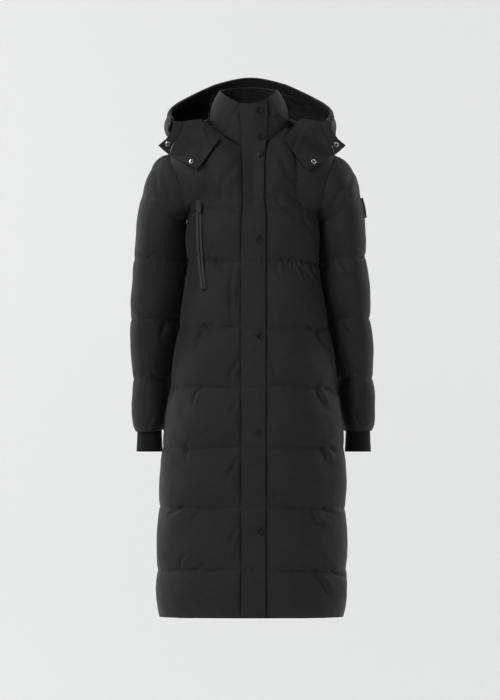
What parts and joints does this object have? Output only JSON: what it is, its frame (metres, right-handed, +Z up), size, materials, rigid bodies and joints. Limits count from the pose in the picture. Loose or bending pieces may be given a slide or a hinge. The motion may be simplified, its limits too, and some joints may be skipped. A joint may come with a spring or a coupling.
{
  "type": "long puffer coat",
  "caption": "Long black hooded puffer coat, worn shape with no wearer: padded channels, stand collar, snap placket, rib cuffs, chest zip pocket and an open hood.",
  "frame": {"origin": "middle of the neck base, where the wearer's shoulders hold the coat", "axes": "+Z up, -Y towards the front, +X towards the wearer's left"},
  "size_m": [0.5711, 0.3602, 1.2493],
  "materials": {
    "shell_cloth": "matte woven polyester with a soft sheen",
    "rib_knit": "matte rib knit",
    "cap_metal": "matte black paint",
    "bright_metal": "polished",
    "zip_tape": "woven tape with nylon coil"
  },
  "bodies": {
    "coat": {"front_right": "shell_cloth", "front_left": "shell_cloth", "back": "shell_cloth", "sleeve_right": "shell_cloth", "sleeve_left": "shell_cloth", "collar": "shell_cloth", "placket": "shell_cloth", "hood_side_right": "shell_cloth", "hood_centre": "shell_cloth", "hood_side_left": "shell_cloth", "hood_band": "shell_cloth", "hood_flap_right": "shell_cloth", "hood_flap_left": "shell_cloth", "hood_band_end_right": "shell_cloth", "hood_band_end_left": "shell_cloth", "sleeve_patch": "shell_cloth", "cuff_right": "rib_knit", "cuff_left": "rib_knit", "snap_cap_1": "cap_metal", "snap_cap_2": "cap_metal", "snap_cap_3": "cap_metal", "snap_cap_4": "cap_metal", "snap_cap_5": "cap_metal", "snap_cap_6": "cap_metal", "snap_cap_7": "cap_metal", "hood_snap_flap_right": "bright_metal", "hood_snap_tip_right": "bright_metal", "hood_snap_flap_left": "bright_metal", "hood_snap_tip_left": "bright_metal", "zip_slider": "bright_metal", "waist_eyelet": "bright_metal", "pocket_welt_outer": "zip_tape", "pocket_welt_inner": "zip_tape", "pocket_zip_coil": "zip_tape"},
    "pull": {"zip_pull": "bright_metal"}
  },
  "joints": [
    {"name": "zip_pull_hinge", "type": "hinge", "parent": "coat", "child": "pull", "pos_m": [-0.1215, -0.08325, -0.144], "axis": [-1, 0, 0], "range_deg": [0, 157]}
  ]
}
